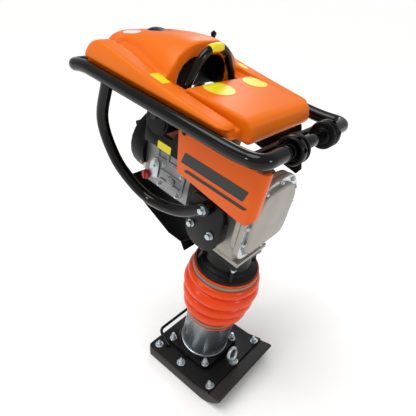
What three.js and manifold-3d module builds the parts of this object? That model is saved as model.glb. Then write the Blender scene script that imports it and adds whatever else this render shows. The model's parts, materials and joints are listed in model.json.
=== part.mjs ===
// Jumping jack rammer (upright tamping rammer), in millimetres.
// +X is the direction of travel, +Y the machine's left, +Z up; the origin is the centre of the flat sole.
// Everything above the foot flange is drawn square in a frame that leans forward with the leg:
// there X is "forward", Y is "left" and Z runs up the leg from the flange's top face.
import * as THREE from 'three';
import { mergeVertices } from 'three/addons/utils/BufferGeometryUtils.js';
import Module from 'manifold-3d';

const wasm = await Module();
wasm.setup();

// ---- driving dimensions -------------------------------------------------------------------------
const gap = 0.3;                      // between faces that touch
const legSides = 22;                  // facets of every piece turned about the leg's axis
const running = 0.6;                  // radial play of turning and sliding pieces
const lean = THREE.MathUtils.degToRad(9.3);
const legX = -17;                     // where the leg's axis meets the flange's top face
const flangeTop = 54.7;

const shoe = { width: 285, rear: -146, flat: 92, tip: 172, pad: 32, top: 40, rise: 50, bend: 76 };
const flange = { x: -21, length: 178, width: 174, boltX: 74, boltY: 71.5, bossRadius: 92 };
const cylinder = { radius: 78, bore: 72, bottom: 8, top: 330 };
const guide = { bore: 79.5, radius: 86, collar: 92, bottom: 238, top: 446, throat: 33 };
const bellowsEnds = { bottom: 171, top: 386 };
const foot = { bottom: 460, top: 472, x: 64, y: 66 };

const crank = { z: 566, radius: 50, teeth: 40, throw: 28, pin: 10, shaft: 12 };
const pinion = { teeth: 11, shaft: 9 };
const gearFace = { back: 12, front: 28 };
const rod = { length: 100, half: 8 };
const shaftZ = crank.z + crank.radius * (1 + pinion.teeth / crank.teeth);   // engine and pinion axis

const caseBack = -62;
const caseFront = 62;
const coverFace = { half: 105, bottom: 506, top: 719, front: 90 };
const engine = { front: -126, back: -292, half: 78, bottom: 530 };

const rail = { y: 175, z: 821, radius: 16 };
const rearBar = { x: -492, z: 806 };
const frontBar = { x: 105, z: 829, end: 98 };
const roller = { radius: 31, inner: 49, outer: 85 };
const tank = { half: 170, rear: -466, front: 38, sill: 841, floor: 813 };
const slot = { back: -208, front: -158, half: 96 };
const hoop = { x: -182, radius: 10, foot: 811, half: 86 };
const bracket = { x: -29, z: 548, radius: 55, outer: 120, inner: 112 };
const panel = { y: 150, thickness: 3, top: 793, front: 108 };
const filler = { x: -372, z: 902 };     // fuel cap, where its flange sits on the tank

// ---- geometry helpers ---------------------------------------------------------------------------
const V = (x, y, z) => new THREE.Vector3(x, y, z);

function bare(geometry) {
  const copy = geometry.index ? geometry.toNonIndexed() : geometry.clone();
  copy.deleteAttribute('normal');
  copy.deleteAttribute('uv');
  return mergeVertices(copy, 1e-4);
}

function signedVolume(geometry) {
  const p = geometry.attributes.position;
  const index = geometry.index.array;
  let sum = 0;
  for (let i = 0; i < index.length; i += 3) {
    const [a, b, c] = [0, 1, 2].map((k) => V().fromBufferAttribute(p, index[i + k]));
    sum += a.dot(b.cross(c));
  }
  return sum;
}

function outward(geometry) {
  const closed = bare(geometry);
  if (signedVolume(closed) < 0) {
    closed.index.array.reverse();
  }
  return closed;
}

function toManifold(geometry) {
  const g = outward(geometry);
  return new wasm.Manifold(new wasm.Mesh({
    numProp: 3,
    vertProperties: new Float32Array(g.attributes.position.array),
    triVerts: new Uint32Array(g.index.array),
  }));
}

function fromManifold(manifold) {
  const mesh = manifold.getMesh();
  const geometry = new THREE.BufferGeometry();
  geometry.setAttribute('position', new THREE.BufferAttribute(new Float32Array(mesh.vertProperties), 3));
  geometry.setIndex(new THREE.BufferAttribute(new Uint32Array(mesh.triVerts), 1));
  return geometry;
}

const join = (first, ...rest) => fromManifold(rest.reduce((m, g) => m.add(toManifold(g)),
  toManifold(first)));
const cut = (first, ...rest) =>
  fromManifold(rest.reduce((m, g) => m.subtract(toManifold(g)), toManifold(first)));
const common = (a, b) => fromManifold(toManifold(a).intersect(toManifold(b)));

// box between two corners
function block(x0, x1, y0, y1, z0, z1) {
  return new THREE.BoxGeometry(x1 - x0, y1 - y0, z1 - z0).translate((x0 + x1) / 2, (y0 + y1) / 2,
    (z0 + z1) / 2);
}

// cylinders along each axis, given by their two ends
function upright(radius, x, y, z0, z1, sides = 24, topRadius = radius) {
  const g = new THREE.CylinderGeometry(topRadius, radius, z1 - z0, sides).rotateX(Math.PI / 2);
  return g.translate(x, y, (z0 + z1) / 2);
}

function acrossRod(radius, x, z, y0, y1, sides = 24) {
  return new THREE.CylinderGeometry(radius, radius, y1 - y0, sides).translate(x, (y0 + y1) / 2, z);
}

function foreRod(radius, y, z, x0, x1, sides = 24) {
  return new THREE.CylinderGeometry(radius, radius, x1 - x0, sides).rotateZ(-Math.PI / 2)
    .translate((x0 + x1) / 2, y, z);
}

// turned solid about the upright axis; the profile is [radius, z] and starts and ends on the axis
// or is closed into a ring
function turned(profile, sides = 32, ring = false) {
  const points = profile.map(([r, z]) => new THREE.Vector2(r, z));
  if (ring) {
    points.push(points[0].clone());
  }
  return new THREE.LatheGeometry(points, sides).rotateX(Math.PI / 2);
}

function outline(points) {
  return new THREE.Shape(points.map(([u, v]) => new THREE.Vector2(u, v)));
}

function roundedRect(u0, u1, v0, v1, r, rTop = r) {
  const s = new THREE.Shape();
  s.moveTo(u0 + r, v0);
  s.lineTo(u1 - r, v0);
  s.absarc(u1 - r, v0 + r, r, -Math.PI / 2, 0, false);
  s.lineTo(u1, v1 - rTop);
  s.absarc(u1 - rTop, v1 - rTop, rTop, 0, Math.PI / 2, false);
  s.lineTo(u0 + rTop, v1);
  s.absarc(u0 + rTop, v1 - rTop, rTop, Math.PI / 2, Math.PI, false);
  s.lineTo(u0, v0 + r);
  s.absarc(u0 + r, v0 + r, r, Math.PI, Math.PI * 1.5, false);
  return s;
}

// extrusions: a side outline (x, z) across the machine, a front outline (y, z) along it,
// and a plan outline (x, y) upwards
function across(shape, y0, y1, curveSegments = 8) {
  const g = new THREE.ExtrudeGeometry(shape, { depth: y1 - y0, bevelEnabled: false, curveSegments });
  return g.rotateX(Math.PI / 2).translate(0, y1, 0);
}

function along(shape, x0, x1, curveSegments = 8) {
  const g = new THREE.ExtrudeGeometry(shape, { depth: x1 - x0, bevelEnabled: false, curveSegments });
  return g.applyMatrix4(new THREE.Matrix4().makeBasis(V(0, 1, 0), V(0, 0, 1), V(1, 0, 0))).translate(x0,
    0, 0);
}

function raised(shape, z0, z1, curveSegments = 8) {
  return new THREE.ExtrudeGeometry(shape, { depth: z1 - z0, bevelEnabled: false, curveSegments })
    .translate(0, 0, z0);
}

// straight runs joined by round bends of the given radius
function bentPath(points, bend) {
  const path = new THREE.CurvePath();
  let start = points[0];
  for (let i = 1; i < points.length - 1; i += 1) {
    const into = points[i].clone().sub(points[i - 1]);
    const out = points[i + 1].clone().sub(points[i]);
    const trim = Math.min(bend, into.length() * 0.48, out.length() * 0.48);
    const a = points[i].clone().addScaledVector(into.normalize(), -trim);
    const b = points[i].clone().addScaledVector(out.normalize(), trim);
    path.add(new THREE.LineCurve3(start, a));
    path.add(new THREE.QuadraticBezierCurve3(a, points[i], b));
    start = b;
  }
  path.add(new THREE.LineCurve3(start, points[points.length - 1]));
  return path;
}

function ringShape(radius, sides) {
  const corner = (k) =>
    [radius * Math.cos(k * 2 * Math.PI / sides), radius * Math.sin(k * 2 * Math.PI / sides)];
  return outline(Array.from({ length: sides }, (_, k) => corner(k)));
}

function tube(path, radius, steps, sides = 12) {
  return new THREE.ExtrudeGeometry(ringShape(radius, sides),
    { steps, extrudePath: path, bevelEnabled: false });
}

const smoothPath = (points) => new THREE.CatmullRomCurve3(points, false, 'centripetal');

function mirrored(geometry) {
  return outward(geometry.clone().scale(1, -1, 1));
}

// ---- materials ----------------------------------------------------------------------------------
const paint = (color, roughness, metalness) =>
  new THREE.MeshStandardMaterial({ color, roughness, metalness });
const orangePlastic = paint('#f0641c', 0.42, 0);
const orangeRubber = paint('#ea4a1e', 0.3, 0);
const blackEnamel = paint('#16171a', 0.22, 0.2);
const blackSteel = paint('#1b1c1d', 0.5, 0.3);
const blackPlastic = paint('#1c1d1f', 0.5, 0);
const darkRubber = paint('#202123', 0.7, 0);
const castAluminium = paint('#b4b1ab', 0.5, 0.9);
const engineAluminium = paint('#8e8f90', 0.5, 0.85);
const galvanised = paint('#8d9397', 0.4, 0.9);
const zincPlate = paint('#c9d0d3', 0.28, 0.95);
const gearSteel = paint('#9a9c9e', 0.35, 0.95);
const padWood = paint('#27231f', 0.7, 0);
const redPlastic = paint('#c8141e', 0.35, 0);

// ---- the foot -----------------------------------------------------------------------------------
const object = new THREE.Group();
const machine = new THREE.Group();
machine.position.set(legX, 0, flangeTop);
machine.rotation.y = lean;
object.add(machine);

function part(name, geometry, material, group = machine) {
  const mesh = new THREE.Mesh(outward(geometry), material);
  mesh.name = name;
  group.add(mesh);
}

// height of the shoe's upper faces ahead of the bend, where the sole curls up
const slope = (shoe.rise + 17 - shoe.top) / (shoe.tip - 4 - shoe.bend);

function makeShoePad() {
  const s = new THREE.Shape();
  const topAt = (x) => shoe.pad + (x - shoe.bend) * slope;
  s.moveTo(shoe.rear + 10, 0);
  s.lineTo(shoe.flat, 0);
  s.quadraticCurveTo(shoe.flat + 44, 2, shoe.tip, shoe.rise);
  s.quadraticCurveTo(shoe.tip + 5, topAt(shoe.tip), shoe.tip - 6, topAt(shoe.tip - 6));
  s.lineTo(shoe.bend, shoe.pad);
  s.lineTo(shoe.rear, shoe.pad);
  s.lineTo(shoe.rear, 10);
  s.quadraticCurveTo(shoe.rear, 0, shoe.rear + 10, 0);
  const half = shoe.width / 2;
  const plan = roundedRect(shoe.rear, shoe.tip + 8, -half, half, 14);
  part('shoe_pad', common(across(s, -half, half, 6), raised(plan, -1, 90, 3)), padWood, object);
}

function makeShoePlate() {
  const lift = shoe.pad + gap;
  const front = shoe.tip - 42;
  const at = (x, base) => base + (x - shoe.bend) * slope;
  const s = outline([
    [shoe.rear + 0.5, lift], [shoe.bend, lift], [front, at(front, lift)],
    [front - 3, at(front - 3, shoe.top)], [shoe.bend, shoe.top], [shoe.rear + 0.5, shoe.top],
  ]);
  const half = shoe.width / 2 - 0.5;
  part('shoe_plate', common(across(s, -half, half),
    raised(roundedRect(shoe.rear, front + 9, -half, half, 14), 0, 90, 3)),
    blackSteel, object);
}

function makeFootFlange() {
  const [l, w] = [flange.length / 2, flange.width / 2];
  const base = raised(roundedRect(flange.x - l, flange.x + l, -w, w, 20), shoe.top + gap, flangeTop, 3);
  // round boss square to the leaning leg, trimmed to the flange's underside
  const boss = upright(flange.bossRadius, 0, 0, -14, 13, legSides, flange.bossRadius - 6);
  boss.rotateY(lean).translate(legX, 0, flangeTop);
  const socket = upright(cylinder.radius + 2.5, 0, 0, cylinder.bottom - gap, 60, legSides);
  socket.rotateY(lean).translate(legX, 0, flangeTop);
  const above = block(-200, 200, -150, 150, shoe.top + gap, 200);
  part('foot_flange', cut(common(join(base, boss), above), socket), blackSteel, object);
}

function hexBolt(x, y, z, washer, nut, stud) {
  return join(
    upright(washer, x, y, z + gap, z + 3, 16),
    upright(nut, x, y, z + 2, z + 12, 6),
    upright(nut * 0.52, x, y, z + 10, z + stud, 8),
  );
}

function makeFlangeStuds() {
  let count = 0;
  for (const side of [-1, 1]) {
    for (const end of [-1, 1]) {
      count += 1;
      const stud = hexBolt(flange.x + end * flange.boltX, side * flange.boltY, flangeTop, 12, 10, 24);
      part(`flange_stud_${count}`, stud, zincPlate, object);
    }
  }
}

function makeEyeBolt() {
  const ring = new THREE.TorusGeometry(20, 5, 6, 16).rotateX(Math.PI / 2).rotateZ(Math.PI / 2)
    .translate(0, 0, 33);
  const shank = join(upright(13, 0, 0, gap, 4, 16), upright(10, 0, 0, 3, 12, 16), ring);
  const [x, angle] = [118, Math.atan(slope)];
  const z = shoe.top + (x - shoe.bend) * slope;
  shank.rotateY(-angle).translate(x - 1, 0, z);
  part('eye_bolt', shank, zincPlate, object);
}

function makeCarryRod() {
  const [x, y, reach] = [-92, 98, -134];
  const z = shoe.top + 6;
  const path = bentPath([V(x, -y, z), V(reach, -y, z + 42), V(reach, y, z + 42), V(x, y, z)], 16);
  const feet = [-1, 1].map((side) => block(x - 8, x + 10, side * y - 9, side * y + 9, shoe.top + gap,
    z + 4));
  part('carry_rod', join(tube(path, 5, 24, 6), ...feet), blackSteel, object);
}

function makeSpringCylinder() {
  const [r, b] = [cylinder.radius, cylinder.bore];
  const foot0 = cylinder.bottom;
  part('spring_cylinder', turned([
    [0, foot0], [r, foot0], [r, foot0 + 8], [r + 2, foot0 + 9], [r + 2, foot0 + 15], [r, foot0 + 16],
    [r, cylinder.top], [b, cylinder.top], [b, foot0 + 14], [0, foot0 + 14],
  ], legSides), galvanised);
  part('cylinder_cap', turned([
    [14 + running, cylinder.top - 14], [b - running, cylinder.top - 14], [b - running, cylinder.top + gap],
    [r, cylinder.top + gap], [r, cylinder.top + 8], [24, cylinder.top + 8], [24, cylinder.top + 14],
    [14 + running, cylinder.top + 14],
  ], legSides, true), gearSteel);
}

function coil(radius, wire, z0, z1, turns) {
  const steps = turns * 10;
  const points = Array.from({ length: steps + 1 }, (_, i) => {
    const t = i / steps;
    const angle = t * turns * 2 * Math.PI;
    return V(radius * Math.cos(angle), radius * Math.sin(angle), z0 + wire + t * (z1 - z0 - 2 * wire));
  });
  return tube(new THREE.CatmullRomCurve3(points), wire, steps, 5);
}

const plateZ = 178;                    // underside of the spring plate on the piston rod

function makeSprings() {
  part('lower_spring', coil(52, 6, cylinder.bottom + 15, plateZ - 1, 5), gearSteel);
  part('upper_spring', coil(52, 5.5, plateZ + 13, cylinder.top - 15, 4), gearSteel);
}

// radius of the bellows' outer skin at height z: five rounded folds on a barrel-shaped body
function bellowsRadius(z) {
  const { bottom, top } = bellowsEnds;
  const t = THREE.MathUtils.clamp((z - bottom - 24) / (top - bottom - 50), 0, 1);
  const barrel = 97 + 5 * Math.sin(Math.PI * Math.min(1, t * 1.15)) - 2.5 * t;
  const fold = Math.abs(Math.sin(Math.PI * 5 * t));
  return t <= 0 ? 83 : barrel + 10 * Math.pow(fold, 0.8);
}

function makeBellows() {
  const { bottom, top } = bellowsEnds;
  const steps = 20;
  const zs = Array.from({ length: steps + 1 }, (_, i) => bottom + 25 + (i * (top - bottom - 51)) / steps);
  const outer = [[83, bottom], [83, bottom + 22], ...zs.map((z) => [bellowsRadius(z), z]),
    [95.3, top - 24], [95.3, top]];
  const inner = [[92.4, top], [92.4, bottom + 44], [80, bottom + 22], [80, bottom]];
  part('bellows', turned([...outer, ...inner], legSides, true), orangeRubber);
  const band = (r, z0, z1) => turned([[r, z0], [r + 1.8, z0], [r + 1.8, z1], [r, z1]], legSides, true);
  part('bellows_clamp_bottom', band(83.4, bottom + 6, bottom + 18), galvanised);
  part('bellows_clamp_top', band(95.7, top - 18, top - 6), galvanised);
}

// ---- the housing --------------------------------------------------------------------------------
function makeGuideCylinder() {
  const { bore, radius, collar, bottom, top, throat } = guide;
  const barrel = turned([
    [bore, bottom], [radius, bottom], [radius, 356], [collar, 360], [collar, 392], [collar - 4, 395],
    [64, top - 8], [64, top], [throat, top], [throat, 432], [bore - 20, 418], [bore, 404],
  ], legSides, true);
  const pad = cut(block(-foot.x, foot.x, -foot.y, foot.y, top - 4, foot.bottom - gap),
    upright(throat, 0, 0, top - 10, foot.bottom + 5, 24));
  const webs = [45, 135, 225, 315].map((angle) => {
    const web = across(outline([[50, 393], [86, 393], [74, top], [50, top]]), -4, 4);
    return web.rotateZ(THREE.MathUtils.degToRad(angle));
  });
  part('guide_cylinder', join(barrel, pad, ...webs), blackSteel);
}

const coverOutline = (inset) => roundedRect(
  -coverFace.half + inset, coverFace.half - inset, coverFace.bottom + inset, coverFace.top - inset,
    62 - inset, 88 - inset,
);

function makeCrankcase() {
  const body = along(roundedRect(-80, 80, foot.top - 6, 704, 30, 66), caseBack, caseFront - 12, 4);
  const rim = along(coverOutline(0), caseFront - 13, caseFront, 4);
  const base = block(-foot.x, foot.x + 4, -foot.y, foot.y, foot.bottom, foot.top);
  const room = along(roundedRect(-68, 68, 504, 694, 22, 56), caseBack + 9, caseFront + 1, 4);
  const front = along(roundedRect(-90, 90, 521, 704, 48, 74), caseFront - 6, caseFront + 1, 4);
  // the leg's throat, opened sideways so that the rod's big end can swing in it
  const throat = join(upright(guide.throat, 0, 0, foot.bottom - 1, 520, 24),
    block(-12, 12, -48, 48, 482, 510));
  const shaftHole = foreRod(pinion.shaft + running, 0, shaftZ, caseBack - 1, caseBack + 20);
  part('crankcase', cut(join(body, rim, base), room, front, throat, shaftHole), castAluminium);
}

function makeCrankcaseCover() {
  const back = caseFront + gap;
  const lip = along(coverOutline(0), back, coverFace.front - 6, 4);
  const face = along(coverOutline(9), coverFace.front - 7, coverFace.front, 4);
  const hollow = along(coverOutline(15), back - 1, back + 14, 4);
  const bosses = [foreRod(22, 0, crank.z, back + 2, coverFace.front - 4),
    foreRod(19, 0, shaftZ, back + 2, coverFace.front - 4)];
  const bores = [
    foreRod(crank.shaft + running, 0, crank.z, back - 2, coverFace.front - 8),
    foreRod(pinion.shaft + running, 0, shaftZ, back - 2, coverFace.front - 8),
  ];
  part('crankcase_cover', cut(join(cut(join(lip, face), hollow), ...bosses), ...bores), castAluminium);
}

function makeClutchHousing() {
  const back = engine.front + gap;
  const shell = along(ringShape(66, 28), back, caseBack - gap);
  const room = along(ringShape(56, 28), back - 1, caseBack - 8);
  const hole = foreRod(pinion.shaft + 3, 0, shaftZ, caseBack - 12, caseBack + 4);
  part('clutch_housing', cut(cut(shell, room).translate(0, 0, shaftZ), hole), blackSteel);
}

// the cylinder leans to the machine's left on top of the engine's crankcase
const headTop = 150;                   // from the engine shaft to the cylinder head's face
const cylinderLean = THREE.MathUtils.degToRad(-30);
const onCylinder = (geometry) => geometry.rotateX(cylinderLean).translate(-205, 0, shaftZ);

function makeEngineBlock() {
  const { front, back, half, bottom } = engine;
  const body = along(outline([
    [-half + 14, bottom], [half - 14, bottom], [half, bottom + 16], [half, 660], [40, 700], [-34, 712],
    [-half, 676], [-half, bottom + 16],
  ]), back, front);
  const nose = foreRod(58, 0, shaftZ, front - 4, front);
  const ribs = [-168, -206, -244].map((x) => block(x - 3, x + 3, -half - 5, -half + 4, bottom + 40, 660));
  const cover = across(roundedRect(-262, -142, bottom + 26, 642, 20), -half - 4, -half + 6, 4);
  const bore = foreRod(10 + running, 0, shaftZ, back - 1, front + 1);
  part('engine_block', cut(join(body, nose, cover, ...ribs), bore), engineAluminium);
}

function makeEngineCylinder() {
  const fins = Array.from({ length: 4 }, (_, i) => block(-52, 52, -50, 50, 92 + i * 11, 96 + i * 11));
  const core = block(-38, 38, -38, 38, 88, headTop - 10);
  const head = block(-46, 46, -44, 44, headTop - 14, headTop);
  const clear = onCylinder(join(core, head, ...fins));
  const below = along(outline([[-90, 500], [82, 500], [82, 661.5], [41, 701.5], [-34, 713.5],
    [-90, 690]]), -300, -100);
  part('engine_cylinder', cut(clear, below), engineAluminium);
}

function makeFanShroud() {
  const back = engine.back - gap;
  const shell = along(ringShape(92, 32), back - 48, back).translate(0, 0, shaftZ);
  const room = along(ringShape(87, 32), back - 49, back - 4).translate(0, 0, shaftZ);
  const hole = foreRod(14, 0, shaftZ, back - 6, back + 1);
  part('fan_housing', cut(shell, room, hole), blackPlastic);
  const cowl = across(outline([
    [-286, 672], [-132, 672], [-132, 738], [-176, 738], [-190, 714], [-262, 714], [-276, 742], [-286, 742],
  ]), -96, -engine.half - 6 - gap);
  part('engine_cowl', cowl, blackPlastic);
}

function makeRecoilHousing() {
  const front = engine.back - 48 - 2 * gap;
  const dish = [[0, -34], [56, -34], [70, -22], [90, -6], [92, 0], [85, 0], [66, -16], [52, -28], [0, -28]];
  const shell = turned(dish, 24).rotateY(Math.PI / 2).translate(front, 0, shaftZ);
  part('recoil_housing', shell, blackPlastic);
}

function makePullGrip() {
  const x = engine.back - 48 - 34 - 2 * gap;
  const grip = join(
    acrossRod(8, x - 12, shaftZ + 30, -36, 36, 12),
    foreRod(7, 0, shaftZ + 30, x - 12, x - gap, 12),
  );
  part('recoil_grip', grip, blackPlastic);
}

function makeAirSide() {
  const [x, z] = [-226, 758];
  const can = join(acrossRod(38, x, z, -118, -50, 28), acrossRod(33, x, z, -124, -50, 28));
  part('air_cleaner', join(can, acrossRod(14, x, z, -51, -42, 16)), blackPlastic);
  const body = join(block(x - 20, x + 20, -41, -5, z - 26, z + 12), acrossRod(14, x, z - 28, -36, -10, 16),
    acrossRod(14, x, z, -42 + gap, 5, 16));
  part('carburettor', body, engineAluminium);
}

function makeMuffler() {
  const can = across(roundedRect(-276, -146, 634, 712, 22), 104, 150, 4);
  const port = acrossRod(11, -205, 662, engine.half + gap, 106, 14);
  part('muffler', join(can, port), blackSteel);
}

function makeEngineGuard() {
  const line = [[-64, 482], [-110, 434], [-160, 432], [-322, 488], [-346, 524]];
  const lip = [[-92, 412], [-110, 434]];
  const thick = 3;
  const sheet = outline([...line, ...line.slice().reverse().map(([x, z]) => [x - 1, z - thick])]);
  const drip = outline([...lip, [-113, 432], [-95, 410]]);
  part('engine_guard', join(across(sheet, -88, 88), across(drip, -88, 88)), blackSteel);
}

function makeLeads() {
  const plug = onCylinder(upright(9, -24, 0, headTop + gap, headTop + 20, 8));
  const cap = onCylinder(upright(11, -24, 0, headTop + 18, headTop + 28, 8));
  const from = V(-24, 0, headTop + 23).applyAxisAngle(V(1, 0, 0), cylinderLean).add(V(-205, 0, shaftZ));
  const lead = tube(smoothPath([from, V(-262, 112, 790), V(-290, 90, 776), V(-304, 50, 758),
    V(-306, 24, 741)]),
    3.5, 14, 6);
  part('spark_plug_lead', join(plug, cap, lead), blackPlastic);
  const hose = smoothPath([V(-150, -70, 805.8), V(-150, -70, 798), V(-158, -56, 782), V(-180, -28, 760),
    V(-192, -20, 752), V(-205.2, -20, 752)]);
  part('fuel_hose', tube(hose, 4, 14, 6), darkRubber);
}

function makeRubberMounts() {
  const cushion = across(roundedRect(bracket.x - 46, bracket.x + 48, bracket.z - 50, bracket.z + 66, 40),
    -bracket.inner + gap,
    -80 - gap, 5);
  part('rubber_mount_right', cushion, darkRubber);
  part('rubber_mount_left', mirrored(cushion), darkRubber);
}

// ---- running gear -------------------------------------------------------------------------------
function gearShape(teeth, radius, phase) {
  const module = (2 * radius) / teeth;
  const [tip, root] = [radius + 0.8 * module, radius - 1.15 * module];
  const pitch = (2 * Math.PI) / teeth;
  const points = [];
  for (let i = 0; i < teeth; i += 1) {
    for (const [r, part0] of [[root, -0.3], [tip, -0.11], [tip, 0.11], [root, 0.3]]) {
      const angle = phase + (i + part0) * pitch;
      points.push([r * Math.cos(angle), r * Math.sin(angle)]);
    }
  }
  return outline(points);
}

function makeCrank() {
  const wheel = along(gearShape(crank.teeth, crank.radius, Math.PI / 2), gearFace.back, gearFace.front);
  const shaft = foreRod(crank.shaft, 0, 0, gearFace.front - 2, coverFace.front - 10);
  const pin = foreRod(crank.pin, 0, -crank.throw, rod.half + 0.5, gearFace.back + 2, 16);
  part('crank_gear', join(wheel, shaft, pin).translate(0, 0, crank.z), gearSteel);
}

function makePinion() {
  const radius = (crank.radius * pinion.teeth) / crank.teeth;
  const phase = -Math.PI / 2 + Math.PI / pinion.teeth;
  const wheel = along(gearShape(pinion.teeth, radius, phase), gearFace.back, gearFace.front);
  const shaft = foreRod(pinion.shaft, 0, 0, -80, coverFace.front - 10, 20);
  part('pinion_shaft', join(wheel, shaft).translate(0, 0, shaftZ), gearSteel);
  const drum = turned([[10, -84], [52, -84], [52, -112], [48, -112], [48, -88], [10, -88]], 24, true);
  const hub = turned([[0, -84], [14, -84], [14, -80 - gap], [0, -80 - gap]], 20);
  const base = turned([[0, -88], [12, -88], [12, -84], [0, -84]], 20);
  part('clutch_drum', join(drum, hub, base).rotateY(Math.PI / 2).translate(0, 0, shaftZ), gearSteel);
}

function makeEngineShaft() {
  const shaft = join(foreRod(10, 0, shaftZ, -336, -108), foreRod(16, 0, shaftZ, -110, -92));
  part('crankshaft', shaft, gearSteel);
  const wheel = turned([[11, -300], [40, -300], [80, -304], [80, -326], [34, -330], [11, -330]], 24, true);
  const fins = Array.from({ length: 8 }, (_, i) => block(-334, -324, 48, 74, -2,
    2).rotateX((i * Math.PI) / 4));
  part('flywheel', join(wheel.rotateY(Math.PI / 2), ...fins).translate(0, 0, shaftZ), gearSteel);
  for (const [name, turn] of [['clutch_shoe_1', 0], ['clutch_shoe_2', Math.PI]]) {
    const s = new THREE.Shape();
    s.absarc(0, 0, 45, 0.2, Math.PI - 0.2, false);
    s.absarc(0, 0, 18, Math.PI - 0.4, 0.4, true);
    part(name, along(s, -109, -93, 10).rotateX(turn).translate(0, 0, shaftZ), blackSteel);
  }
}

const bigEndZ = crank.z - crank.throw;
const smallEndZ = bigEndZ - rod.length;

function makeConRod() {
  const s = new THREE.Shape();
  s.absarc(0, bigEndZ, 19, -0.9, Math.PI + 0.9, false);
  s.absarc(0, smallEndZ, 13, Math.PI - 0.6, 2 * Math.PI + 0.6, false);
  const eyes = [[bigEndZ, crank.pin + running], [smallEndZ, 7 + running]];
  for (const [z, r] of eyes) {
    s.holes.push(new THREE.Path().absarc(0, z, r, 0, 2 * Math.PI, true));
  }
  part('con_rod', along(s, -rod.half, rod.half, 10), gearSteel);
}

function makePiston() {
  const fork = join(upright(14, 0, 0, 196, smallEndZ - 20, 20),
    upright(26, 0, 0, smallEndZ - 24, smallEndZ + 12, 24));
  const mouth = block(-rod.half - 0.5, rod.half + 0.5, -30, 30, smallEndZ - 16, smallEndZ + 20);
  const pin = foreRod(7, 0, smallEndZ, -20, 20, 14);
  part('piston_rod', join(cut(fork, mouth), pin), gearSteel);
  const plate = turned([[0, plateZ], [69, plateZ], [69, plateZ + 12], [18, plateZ + 12], [18, 196 - gap],
    [0, 196 - gap]], legSides);
  part('spring_plate', plate, gearSteel);
}

// ---- the handle ---------------------------------------------------------------------------------
function makeHandleFrame() {
  const { y, z, radius } = rail;
  const half = (side) => {
    const hand = (x, yy, zz) => V(x, side * yy, zz);
    const loop = bentPath([
      hand(rearBar.x, -2, rearBar.z), hand(rearBar.x, y, rearBar.z), hand(-436, y, z), hand(46, y, z),
      hand(frontBar.x, y, frontBar.z), hand(frontBar.x, frontBar.end, frontBar.z),
    ], 40);
    const leg = smoothPath([
      hand(-343, y, z - 4), hand(-362, 173, 712), hand(-320, 166, 628), hand(-262, 156, 580),
      hand(-196, 142, 552), hand(-100, 137, 573), hand(-22, 137, 628),
    ]);
    return join(tube(loop, radius, 38, 8), tube(leg, 15, 18, 8));
  };
  const spindle = acrossRod(9, frontBar.x, frontBar.z, -frontBar.end - 6, frontBar.end + 6, 16);
  const beam = acrossRod(11, 62, 806, -y, y, 14);
  const yoke = acrossRod(10, hoop.x, hoop.foot - 11 - gap, -y, y, 14);
  part('handle_frame', join(half(1), half(-1), spindle, beam, yoke), blackEnamel);
}

function makeRollers() {
  const { radius, inner, outer } = roller;
  const bore = 9 + running;
  const profile = [
    [bore, inner], [radius - 9, inner], [radius - 7, inner + 5], [radius - 3, inner + 5],
      [radius, inner + 8],
    [radius, outer - 5], [radius - 3, outer - 2], [radius - 8, outer - 2], [radius - 12, outer - 6],
      [16, outer - 6],
    [16, outer], [bore, outer],
  ];
  const left = turned(profile, 20, true).rotateX(-Math.PI / 2).translate(frontBar.x, 0, frontBar.z);
  part('roller_left', left, darkRubber);
  part('roller_right', mirrored(left), darkRubber);
  const sleeve = turned([[bore, -inner + 1], [13, -inner + 1], [13, inner - 1], [bore, inner - 1]], 20,
    true);
  part('roller_sleeve', sleeve.rotateX(-Math.PI / 2).translate(frontBar.x, 0, frontBar.z), blackPlastic);
}

function makeBrackets() {
  const s = roundedRect(bracket.x - bracket.radius, bracket.x + 52, bracket.z - bracket.radius, 642, 52,
    26);
  const plate = across(s, -bracket.outer, -bracket.inner, 8);
  part('mount_bracket_right', plate, blackSteel);
  part('mount_bracket_left', mirrored(plate), blackSteel);
}

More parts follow.
